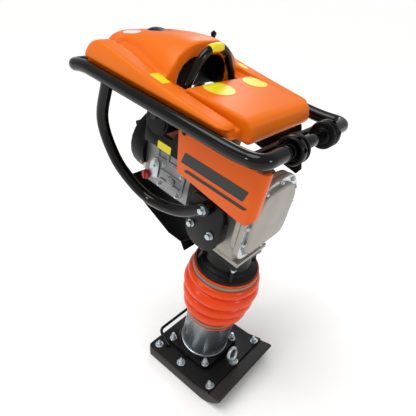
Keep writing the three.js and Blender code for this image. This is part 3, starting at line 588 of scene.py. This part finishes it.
def makeLeg():
    tube = {"radius": 78, "bore": 72, "bottom": 8, "top": 330}
    r, low = tube["radius"], tube["bottom"]
    bm = bmesh.new()
    addTurned(bm, [
        (0, low), (r, low), (r, low + 7), (r + 2.4, low + 8), (r + 3, low + 11),
        (r + 2.4, low + 14), (r, low + 15),
        (r - 0.6, low + 17), (r - 0.6, low + 19), (r, low + 21), (r, tube["top"]),
        (tube["bore"], tube["top"]),
        (tube["bore"], low + 14), (0, low + 14),
    ], None, 96)
    makePiece("springCylinder", bm, finish["galvanised"], "foot", ("spring_cylinder",))
    guide = {"bore": 79.5, "radius": 86, "collar": 92}
    bm = bmesh.new()
    addTurned(bm, [
        (guide["bore"], 238), (guide["radius"], 238), (guide["radius"], 356),
        (guide["collar"] - 1, 359),
        (guide["collar"], 361), (guide["collar"], 390), (guide["collar"] - 1, 392.5),
        (guide["collar"] - 4, 394),
        (76, 399), (68, 408), (65, 420), (64, 446), (33, 446), (33, 432), (59.5, 418),
        (guide["bore"], 404),
        (guide["bore"], 238),
    ], None, 96)
    addSlab(bm, [(-64, -66, 442), (64, -66, 442), (64, 66, 442), (-64, 66, 442)], (0, 0, 17.7), 10, 1.5)
    for angle in (45, 135, 225, 315):
        turn = Matrix.Rotation(math.radians(angle), 4, "Z")
        addSlab(
            bm, [(50, -5, 392), (87, -5, 393), (80, -5, 414), (76, -5, 446), (50, -5, 446)],
            (0, 10, 0), 0, 2.2, matrix=turn,
        )
    makePiece("guideCasting", bm, finish["black_steel"], "housing", ("guide_cylinder",))
    bm = bmesh.new()
    for a in (-57, 57):
        for y in (-59, 59):
            addRod(bm, 8.5, (a, y, 437), (a, y, 441.8), 6, None, 0.6)
            addRod(bm, 5, (a, y, 431), (a, y, 438), 20, None, 1.2)
    makePiece("footPlateBolts", bm, finish["zinc_plate"], "housing")


bellows = {
    "bottom": 171, "top": 386, "first": 200.5, "pitch": 45, "folds": 3, "depth": 16, "bite": 0.52,
    "crest": [(171, 96), (223, 102), (268, 110), (313, 114.5), (336, 113)], "neck": 366, "bulge": 11,
}


def bellowsRadius(z):
    # three rounded folds between tight valleys, then a softer one that runs up into the clamped neck
    turns = (z - bellows["first"]) / bellows["pitch"]
    last = bellows["first"] + bellows["pitch"] * bellows["folds"]
    if z <= last:
        wave = abs(math.sin(math.pi * max(turns, 0))) ** bellows["bite"]
        return follow(bellows["crest"], z) - bellows["depth"] * (1 - wave)
    along = min((z - last) / (bellows["neck"] - last), 1)
    low = bellows["crest"][-1][1] - bellows["depth"]
    return low + (96 - low) * along + bellows["bulge"] * max(math.sin(math.pi * along), 0) ** 0.7


def makeBellows():
    low, high = bellows["bottom"], bellows["top"]
    steps = 140
    heights = [low + 24.5 + i * (high - low - 46.5) / steps for i in range(steps + 1)]
    bm = bmesh.new()
    outer = [
        (82.6, low), (84.8, low + 0.8), (84.8, low + 4.6), (83, low + 5.6), (83, low + 19),
        (84.4, low + 20.5), (85, low + 22),
    ]
    outer += [(max(85, bellowsRadius(z)), z) for z in heights]
    outer += [
        (95.4, high - 20.5), (95.3, high - 5), (96.4, high - 4.4), (96.4, high - 0.8), (95.6, high)
    ]
    addTurned(
        bm, outer + [(92.4, high), (92.4, low + 44), (80, low + 22), (80, low), (82.6, low)], None,
        128,
    )
    piece = makePiece(
        "bellowsBoot", bm, finish["orange_rubber"], None, ("bellows",), leaning, 60
    )
    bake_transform(piece)
    for name, node, body, r, z, wide in (
        ("clampBandLower", "bellows_clamp_bottom", "foot", 83.4, low + 6, 12),
        ("clampBandUpper", "bellows_clamp_top", "housing", 95.7, high - 20, 14.5),
    ):
        bm = bmesh.new()
        band = [
            (r, z), (r + 1.4, z), (r + 1.8, z + 0.8), (r + 1.8, z + wide - 0.8),
            (r + 1.4, z + wide), (r, z + wide), (r, z),
        ]
        addTurned(bm, band, None, 96)
        # the band's lug and screw, turned to the rear
        turn = Matrix.Rotation(math.radians(160 if body == "foot" else 150), 4, "Z")
        lug = [(r + 1, -11, z + 1), (r + 8, -11, z + 1), (r + 8, -11, z + 11), (r + 1, -11, z + 11)]
        addSlab(bm, lug, (0, 20, 0), 2.5, 1, matrix=turn)
        addRod(
            bm, 3.2, turn @ Vector((r + 5, -17, z + 6)), turn @ Vector((r + 5, 14, z + 6)), 16,
            None, 0.6,
        )
        makePiece(name, bm, clampSteel, body, (node,))


makeShoe()
makeFlange()
makeEyeBolt()
makeCarryRod()
makeLeg()
makeBellows()
print("shoe, leg and bellows ready")


# crankcase, cover and brackets


cover = {
    "half": 105, "low": 505, "high": 719, "back": 62.3, "flange": 13.5, "lowRound": 42, "highRound": 84,
    "inset": 18, "raised": 18, "boss": 8.4, "bossTop": 77,
    "bolts": [
        (-95, 566), (-97, 617), (-86, 666), (-58, 699), (0, 710), (58, 699), (86, 666), (97, 617),
        (95, 566),
        (-72, 526), (0, 515), (72, 526),
    ],
}


def coverCorners(inset, a):
    half, low, high = cover["half"] - inset, cover["low"] + inset, cover["high"] - inset
    return [(a, -half, low), (a, half, low), (a, half, high), (a, -half, high)]


def makeCover():
    softened("crankcase", 2.0, 2, 35)
    lowRound, highRound = cover["lowRound"], cover["highRound"]
    bm = bmesh.new()
    rounding = [lowRound, lowRound, highRound, highRound]
    addSlab(bm, coverCorners(0, cover["back"]), (cover["flange"], 0, 0), rounding, 2.2, 3, 14)
    rounding = [lowRound - 12, lowRound - 12, highRound - 15, highRound - 15]
    addSlab(bm, coverCorners(cover["inset"], 70), (cover["raised"], 0, 0), rounding, 7.5, 5, 14)
    for y, s in cover["bolts"]:
        addRod(bm, cover["boss"], (63, y, s), (cover["bossTop"], y, s), 28, cover["boss"] - 0.8, 0.6)
    makePiece(
        "crankcaseCover", bm, finish["cast_aluminium"], "housing",
        ("crankcase_cover",),
    )
    bm = bmesh.new()  # the flange face is machined bright round the raised middle
    rounding = [lowRound - 2, lowRound - 2, highRound - 2, highRound - 2]
    addSlab(bm, coverCorners(1.8, 75.7), (0.5, 0, 0), rounding, 0, 1, 14)
    makePiece("coverRim", bm, machinedAluminium, "housing")
    bm = bmesh.new()
    for y, s in cover["bolts"]:
        addBolt(bm, facing((cover["bossTop"], y, s), (1, 0, 0)), 5.6, 4.4, 3.6)
    makePiece("coverBolts", bm, finish["zinc_plate"], "housing")


def makeBrackets():
    for side, name in ((-1, "right"), (1, "left")):
        softened(f"mount_bracket_{name}", 1.4, 2)
        softened(f"rubber_mount_{name}", 2.5, 3)
        bm = bmesh.new()
        for a, s in ((-65, 550), (-2, 551)):
            addBolt(bm, facing((a, side * 120.2, s), (0, side, 0)), 10.5, 8, 6.5, 0, True)
        makePiece(f"bracketBolts{name.capitalize()}", bm, finish["zinc_plate"], "handle")


# frame, hoop and rollers


def makeFrame():
    y, z, r = 175, 821, 16
    bar = {"rear": (-492, 806), "front": (105, 829), "end": 98, "leg": 15}
    bm = bmesh.new()
    loop = []
    for side in (-1, 1):
        hand = [
            (bar["rear"][0], 0, bar["rear"][1]), (bar["rear"][0], y, bar["rear"][1]), (-436, y, z),
            (46, y, z),
            (bar["front"][0], y, bar["front"][1]), (bar["front"][0], bar["end"], bar["front"][1]),
        ]
        loop.append([Vector((a, side * b, c)) for a, b, c in bentLine(hand, 40, 12)])
        leg = [
            (-343, y, z - 4), (-362, 173, 712), (-320, 166, 628), (-262, 156, 580),
            (-196, 142, 552), (-100, 137, 573),
            (-22, 137, 628),
        ]
        addPipe(bm, smoothLine([(a, side * b, c) for a, b, c in leg], 8), bar["leg"], 8)
        addRod(bm, 17, (-22, side * 120.5, 628), (-22, side * 145, 628), 32, None, 1.5)
    addPipe(bm, loop[0][::-1] + loop[1][1:], r, 9)
    for side in (-1, 1):
        addTurned(bm, [(0, 0), (r + 0.6, 0), (r + 1.4, 1), (r + 1.4, 6), (r - 3, 8), (0, 8)],
                  facing((bar["front"][0], side * (bar["end"] + 6), bar["front"][1]), (0, -side, 0)),
                  40)
    addRod(bm, 9, (105, -104, 829), (105, 104, 829))
    addRod(bm, 8, (62, -y, 813), (62, y, 813))
    addRod(bm, 10, (-182, -y, 799.7), (-182, y, 799.7))
    makePiece("tubeFrame", bm, finish["black_enamel"], "handle", ("handle_frame",))
    bm = bmesh.new()
    for side in (-1, 1):
        addBolt(bm, facing((-22, side * 145, 628), (0, side, 0)), 11, 8, 6, 0, True)
    makePiece("legBolts", bm, finish["zinc_plate"], "handle")


def makeHoop():
    hoop = {"a": -182, "radius": 10, "foot": 811, "half": 86}
    bm = bmesh.new()
    line = bentLine([(hoop["a"], b, c) for b, c in (
        (-86, hoop["foot"]), (-82, 852), (-34, 929), (34, 929), (82, 852), (86, hoop["foot"]))], 38, 14)
    addPipe(bm, line, hoop["radius"], 8)
    for side in (-1, 1):
        addRod(bm, 13, (hoop["a"], side * 86, 810.7), (hoop["a"], side * 86, 818), 32, 11, 1)
    makePiece("liftingHoop", bm, finish["black_enamel"], "handle", ("lifting_hoop",))
    bm = bmesh.new()
    wrap = [Vector((hoop["a"], b, c)) for b, c in ((-24, 925.6), (-14, 928.6), (0, 929), (16, 929))]
    addPipe(bm, wrap, hoop["radius"] + 0.5, 8)
    makePiece("hoopLabel", bm, yellowLabel, "handle")


def makeRollers():
    roller = {
        "a": 105, "s": 829, "sleeve": 48, "radius": 31, "inner": 49, "outer": 85, "bore": 9.6,
        "slots": 7, "slot": 5.2,
    }
    r, i, o = roller["radius"], roller["inner"], roller["outer"]
    for side, name in ((-1, "right"), (1, "left")):
        bm = bmesh.new()
        matrix = facing((roller["a"], 0, roller["s"]), (0, side, 0))
        addTurned(bm, [
            (roller["bore"], i), (17, i), (19, i + 1), (19, i + 3), (r - 6, i + 3),
            (r - 1.5, i + 4), (r, i + 6.5),
            (r, i + 9.5), (r - 1.5, i + 11.5), (r - 6, i + 13), (r - 7, i + 15), (r - 6, i + 17),
            (r - 1.5, i + 18.5),
            (r, i + 21), (r, o - 4), (r - 1.5, o - 1.5), (r - 4, o - 0.5), (r - 6.5, o - 1),
            (r - 8.5, o - 8),
            (18, o - 9), (15.5, o - 1), (14, o), (roller["bore"], o), (roller["bore"], i),
        ], matrix, 72)
        piece = makePiece(
            f"roller{name.capitalize()}", bm, finish["dark_rubber"], None,
            (f"roller_{name}",),
        )
        cutters = bmesh.new()
        for k in range(roller["slots"]):
            angle = 2 * math.pi * (k + 0.5) / roller["slots"]
            out = Vector((math.cos(angle), 0, math.sin(angle)))
            middle = Vector((roller["a"], side * (o - 9), roller["s"])) + out * (r + 1)
            addRod(cutters, roller["slot"], middle - out * 7, middle + out * 9, 20)
        bmesh.ops.transform(cutters, matrix=leaning, verts=cutters.verts)
        carve(piece, cutters)
        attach(piece, f"{name}_roller")
    half, bore = roller["sleeve"], roller["bore"]
    tube = [
        (bore, -half), (13, -half), (13.6, 1 - half), (13.6, half - 1), (13, half), (bore, half),
        (bore, -half),
    ]
    bm = bmesh.new()
    addTurned(bm, tube, facing((roller["a"], 0, roller["s"]), (0, 1, 0)), 48)
    makePiece("rollerSleeve", bm, finish["black_enamel"], "handle", ("roller_sleeve",))


makeCover()
makeBrackets()
makeFrame()
makeHoop()
makeRollers()
print("crankcase, frame and rollers ready")


# fuel tank hood: one moulding, so its lumps are fused at a few millimetres and smoothed into each other

hood = {
    "half": 170, "inner": 128, "sill": 841, "floor": 815, "voxel": 2.7, "smoothing": 3,
    "shoulder": [
        (-446, 841), (-445, 848), (-440, 859), (-431, 871.5), (-419, 882), (-404, 889.5),
        (-388, 892), (-350, 888), (-326, 885), (-247, 873), (-187, 866), (-117, 859), (-58, 854),
        (-20, 851), (-6, 849), (0, 846),
    ],
    # how far the rear deck lies under the shoulders
    "sunk": [(-469, 19), (-430, 17), (-400, 12), (-350, 6), (-300, 2)],
    "crest": [
        (-482, 868), (-474, 882), (-455, 893), (-382, 912), (-293, 930), (-243, 936), (-216, 936),
        (-204, 932),
    ],
    # how square the hump is across
    "flatness": [(-482, 7), (-380, 6), (-300, 4), (-204, 2.4)],
    "width": [(-482, 88), (-379, 90), (-322, 101), (-274, 113), (-242, 121), (-204, 125)],
    "block": [
        (-158, 850), (-156, 858), (-150, 863.5), (10, 863.5), (22, 861), (32, 852), (38, 834),
        (38, 824), (30, 812), (-158, 812),
    ],
    "blockHalf": 116, "slot": (-208, -158, 96), "arch": (-246, 86, 902), "cap": (-372, 33, 899),
}


def makeHood():
    half, inner, sill, low = hood["half"], hood["inner"], hood["sill"], hood["floor"]
    side = hood["shoulder"]
    outline = [(-446, sill - 4)] + side + [(4, sill), (-425, sill)]
    bm = bmesh.new()
    for sign in (-1, 1):  # the two long shoulders, rounder on their outer edge
        own = bmesh.new()
        own.faces.new([own.verts.new((a, sign * inner, s)) for a, s in outline])
        made = bmesh.ops.extrude_face_region(own, geom=list(own.faces), use_keep_orig=True)
        bmesh.ops.translate(own, vec=(0, sign * (half - inner), 0), verts=movedVerts(made))
        for reach, width in ((half, 8), (inner, 2)):
            rims = [
                e for e in own.edges
                if all(abs(abs(v.co.y) - reach) < 0.1 and v.co.z > sill + 1 for v in e.verts)
            ]
            bmesh.ops.bevel(
                own, geom=rims, offset=width, affect="EDGES", segments=6, profile=0.5, material=-1
            )
        takeIn(bm, own)
    rear = [(a, s - follow(hood["sunk"], a)) for a, s in side if a < -200] + [(-204, 864)]
    addSlab(bm, [(a, -135, s) for a, s in [(-447, low + 20)] + rear + [(-204, low + 20)]], (0, 270, 0))
    addSlab(
        bm, [(-455, -153, low), (5, -153, low), (5, -153, 835), (-455, -153, 846)], (0, 306, 0), 0,
        4,
    )
    addSlab(
        bm, [(-212, -130, low), (-150, -130, low), (-150, -130, 850), (-212, -130, 852)],
        (0, 260, 0), 0, 3,
    )
    addSlab(
        bm, [(a, -hood["blockHalf"], s) for a, s in hood["block"]], (0, 2 * hood["blockHalf"], 0),
        0, 4.5, 4
    )
    own = bmesh.new()  # the hump: a grid bent into a dome, then closed downwards
    bmesh.ops.create_grid(own, x_segments=56, y_segments=40, size=1)
    for v in own.verts:
        a = -482 + (v.co.x + 1) / 2 * 278
        wide = follow(hood["width"], a)
        base = follow(hood["shoulder"], max(a, -450)) - 2
        dome = (1 - abs(v.co.y) ** follow(hood["flatness"], a)) ** 0.8
        v.co = (a, v.co.y * wide, base + (follow(hood["crest"], a) - base) * dome)
    made = bmesh.ops.extrude_face_region(own, geom=list(own.faces), use_keep_orig=True)
    for v in movedVerts(made):
        v.co.z = 845
        v.co.x = max(v.co.x, -466)
    takeIn(bm, own)
    piece = makePiece("tankHood", bm, finish["orange_plastic"], None, ("fuel_tank",))
    fuse(piece, hood["voxel"] / 1000)
    plan = bmesh.new()  # rounded in plan, and wider where the hump overhangs the rear
    corners = [
        (-484, -92), (-448, -170), (8, -170), (14, -121), (40, -119), (40, 119), (14, 121),
        (8, 170), (-448, 170), (-484, 92),
    ]
    addSlab(
        plan, [(a, b, 790) for a, b in corners], (0, 0, 200),
        [20, 14, 30, 4, 14, 14, 4, 30, 14, 20], steps=14, matrix=leaning
    )
    carve(piece, plan, "INTERSECT")
    cutters = bmesh.new()
    back, front, reach = hood["slot"]
    addSlab(
        cutters,
        [(back, -reach, 780), (front, -reach, 780), (front, reach, 780), (back, reach, 780)],
        (0, 0, 220), 8,
    )
    deep, wide, top = hood["arch"]
    arch = [(deep, -wide, 780), (deep, wide, 780), (deep, wide, top), (deep, -wide, top)]
    addSlab(cutters, arch, (60, 0, 0), [0, 0, 52, 52], steps=14)
    capA, capR, capS = hood["cap"]
    addRod(cutters, capR, (capA, 0, capS), (capA, 0, 960), 48)
    bmesh.ops.transform(cutters, matrix=leaning, verts=cutters.verts)
    carve(piece, cutters)
    fuse(piece, hood["voxel"] / 1000)
    soft = piece.modifiers.new("soft", "SMOOTH")
    soft.factor, soft.iterations = 0.5, hood["smoothing"]
    settleMesh(piece)
    for polygon in piece.data.polygons:
        polygon.use_smooth = True
    piece.data.materials.clear()
    piece.data.materials.append(finish["orange_plastic"])
    # second finish: black, painted into the recess under the hump as its shade
    piece.data.materials.append(finish["black_plastic"])
    inside = leaning.inverted()
    for polygon in piece.data.polygons:  # the faces round the opening under the hump get the black finish: painted shade for the recess, partly the dark well behind it
        a, b, s = inside @ polygon.center
        if deep - 4 < a < back - 2.5 and abs(b) < wide + 3 and s < top + 3:
            polygon.material_index = 1
    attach(piece, "handle")
    return piece


def fuse(piece, voxel):
    remesh = piece.modifiers.new("fuse", "REMESH")
    remesh.mode, remesh.voxel_size, remesh.use_smooth_shade = "VOXEL", voxel, True
    settleMesh(piece)


def makeHoodTrim():
    cap = {"a": -372, "s": 902, "radius": 30, "ribs": 24}
    r = cap["radius"]
    profile = [
        (0, -3), (20, -3), (20, -1.5), (28, -1.5), (r, 0), (r, 6), (r - 2, 9), (r - 7, 12),
        (16, 14.5), (0, 15.5),
    ]
    bm = bmesh.new()
    addTurned(bm, profile, facing((cap["a"], 0, cap["s"]), (0, 0, 1)), 72)
    for k in range(cap["ribs"]):  # finger ribs round the rim
        angle = 2 * math.pi * k / cap["ribs"]
        x, y = math.cos(angle) * (r - 0.4), math.sin(angle) * (r - 0.4)
        addRod(bm, 1.6, (cap["a"] + x, y, cap["s"] + 0.5), (cap["a"] + x, y, cap["s"] + 6.5), 10, 1.2)
    makePiece("fuelCap", bm, finish["black_plastic"], "cap", ("fuel_cap",))


def stick(bm, onto, lift=0.35, film=0.3):
    # lays a flat film, drawn above the hood in the leaning frame, down onto the moulding
    inverse = leaning.inverted()
    down = leaning.to_3x3() @ Vector((0, 0, -1))
    missed = []
    for v in bm.verts:
        hit, spot, normal, _ = onto.ray_cast(leaning @ v.co, down)
        if hit:
            v.co = inverse @ (spot + normal * lift / 1000)
        else:
            missed.append(v)
    bmesh.ops.delete(bm, geom=missed, context="VERTS")
    made = bmesh.ops.extrude_face_region(bm, geom=list(bm.faces), use_keep_orig=True)
    bmesh.ops.translate(bm, vec=(0, 0, film), verts=movedVerts(made))
    bmesh.ops.recalc_face_normals(bm, faces=bm.faces)


def makeLabels(moulding):
    discs = {"front": (-119, -45, 37, 1), "far": (-112, 83, 31, 1), "shoulder": (-198, 144, 9, 1.9)}
    above = 980  # well clear of the moulding
    for name, (a, y, radius, long) in discs.items():
        place = Matrix.Translation((a, y, above)) @ Matrix.Diagonal((long, 1, 1, 1))
        bm = bmesh.new()
        addTurned(bm, [(radius * i / 6, 0) for i in range(7)], place, 48)
        stick(bm, moulding)
        makePiece(f"{name}DiscLabel", bm, yellowLabel, "handle")
    place = Matrix.Translation((-398, -66, above)) @ Matrix.Diagonal((4.4, 1.7, 1, 1))
    bm = bmesh.new()
    addTurned(bm, [(7 * i / 4, 0) for i in range(5)], place, 48)
    stick(bm, moulding)
    makePiece("humpLabel", bm, whiteLabel, "handle")
    place = Matrix.Translation((-204, -142, above)) @ Matrix.Diagonal((22, 14, 1, 1))
    bm = bmesh.new()
    bmesh.ops.create_grid(bm, x_segments=16, y_segments=8, size=1)
    bmesh.ops.transform(bm, matrix=place, verts=bm.verts)
    stick(bm, moulding)
    makePiece("shoulderLabel", bm, yellowLabel, "handle")


makeHoodTrim()
makeLabels(makeHood())
print("tank hood ready")


# side panels, with a plain two-bar mark


def makePanels():
    panel = softened("side_panel_right", 1.0, 2)
    panel.data.materials[0] = panelPaint
    softened("side_panel_left", 0.8, 2)
    bm = bmesh.new()
    for low, high, start, end in ((716, 744, -104, 74), (698, 706, -92, 82)):
        corners = [(start, low), (end, low), (end + 8, high), (start + 8, high)]
        addSlab(bm, [(a, -150.2, s) for a, s in corners], (0, -0.5, 0), 3)
    makePiece("panelBars", bm, darkFilm, "handle")
    bm = bmesh.new()  # plain button screw
    addTurned(
        bm, [(0, 0), (6, 0), (5.8, 1.4), (4.2, 3), (0, 3.6)],
        facing((-108, -150.2, 786), (0, -1, 0)), 28,
    )
    makePiece("panelScrew", bm, finish["black_plastic"], "handle")


def makeThrottleLever():
    lever = {
        "a": -350, "s": 855, "y": 175, "tilt": 9.2, "root": 8.5, "tip": 4.5, "reach": 56, "thick": 6
    }
    root, tip, reach = lever["root"], lever["tip"], lever["reach"]
    hinge = Matrix.Translation((lever["a"], lever["y"] + 3, lever["s"]))
    turn = leaning @ hinge @ Matrix.Rotation(math.radians(lever["tilt"]), 4, "Y")
    blade = [(-root, -6), (root, -6), (tip, reach), (-tip - 2, reach + 3)]
    bm = bmesh.new()
    addSlab(bm, [(x, 0, z) for x, z in blade], (0, lever["thick"], 0), [6, 6, 3, 3], 1.6, 3)
    addRod(bm, 10.5, (0, -1, 0), (0, 10.6, 0), 32, None, 1.2)
    addRod(bm, 7, (tip - 6, -3, reach - 6), (tip - 6, 9, reach - 6), 24, 6, 1.5)
    makePiece(
        "throttleLever", bm, finish["black_plastic"], "throttle",
        ("throttle_lever",), turn,
    )


def makeEngineTrim():
    bm = bmesh.new()  # blank caution plate on the cowl
    addSlab(
        bm, [(a, -96.4, s) for a, s in ((-236, 673), (-188, 673), (-188, 694), (-236, 694))],
        (0, -0.5, 0), 1.5
    )
    makePiece("cowlLabel", bm, yellowLabel, "housing")
    bm = bmesh.new()  # oil sensor lead with its white plug
    lead = [
        (-276, -84, 588), (-288, -98, 600), (-284, -106, 612), (-270, -108, 606), (-258, -104, 618),
        (-250, -92, 632),
    ]
    addPipe(bm, smoothLine(lead, 8), 1.3, 3)
    makePiece("sensorLead", bm, wireSheath, "housing")
    bm = bmesh.new()
    addSlab(
        bm, [(-266, -111, 600), (-257, -111, 600), (-257, -111, 616), (-266, -111, 616)], (0, 7, 0),
        1.5, 0.8,
    )
    makePiece("sensorPlug", bm, whiteLabel, "housing")
    bm = bmesh.new()  # bolted side cover of the engine block, with two stiffening ribs
    addSlab(
        bm, [(a, -78.3, s) for a, s in ((-238, 548), (-146, 548), (-138, 634), (-226, 640))],
        (0, -5, 0), 16, 1.5, 3
    )
    for s in (578, 606):
        addSlab(
            bm, [(a, -82, h) for a, h in ((-226, s), (-152, s), (-152, s + 5), (-226, s + 5))],
            (0, -4.5, 0), 2, 1.4, 3
        )
    addRod(bm, 15, (-184, -82, 592), (-184, -88.5, 592), 40, 13, 1)
    makePiece("engineSideCover", bm, finish["engine_aluminium"], "housing")
    bm = bmesh.new()
    for a, s in ((-226, 560), (-158, 558), (-150, 624), (-216, 628)):
        addBolt(bm, facing((a, -83.3, s), (0, -1, 0)), 7, 5, 4)
    makePiece("sideCoverBolts", bm, finish["zinc_plate"], "housing")
    bm = bmesh.new()  # zinc bracket behind the oil filler
    plate = [(-262, 566), (-236, 574), (-232, 622), (-244, 634), (-262, 626), (-268, 596)]
    addSlab(bm, [(a, -84.5, s) for a, s in plate], (0, -2, 0), 3, 0.6)
    addRod(bm, 3.4, (-250, -86, 606), (-250, -90, 606), 20, 3, 0.4)
    makePiece("fillerBracket", bm, finish["zinc_plate"], "housing")


def makeStarterRope():
    # the rope is wound up inside the recoil housing at rest; only its short straight run out behind the
    # grip is drawn here
    rope = {"inner": -369, "outer": -383, "s": 659.7, "radius": 2, "links": 24}
    reach = (rope["outer"] - rope["inner"]) / rope["links"]
    bm = bmesh.new()
    addPipe(
        bm, [(rope["inner"] + i * reach, 0, rope["s"]) for i in range(rope["links"] + 1)],
        rope["radius"], 3
    )
    piece = makePiece("starterRope", bm, braidedCord, None)
    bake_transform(piece)


makePanels()
makeStarterRope()
makeThrottleLever()
makeEngineTrim()
for node, width in (
    ("engine_block", 2.5), ("engine_cylinder", 0.8), ("fan_housing", 1.0), ("engine_cowl", 1.6),
    ("recoil_housing", 1.2),
    ("recoil_grip", 1.5), ("air_cleaner", 2.0), ("carburettor", 1.5), ("muffler", 3.0),
    ("engine_guard", 0.6),
    ("clutch_housing", 1.5), ("throttle_bracket", 0.8), ("fuel_tap", 0.6), ("oil_cap", 1.4),
):
    softened(node, width)
print("panels and engine ready")
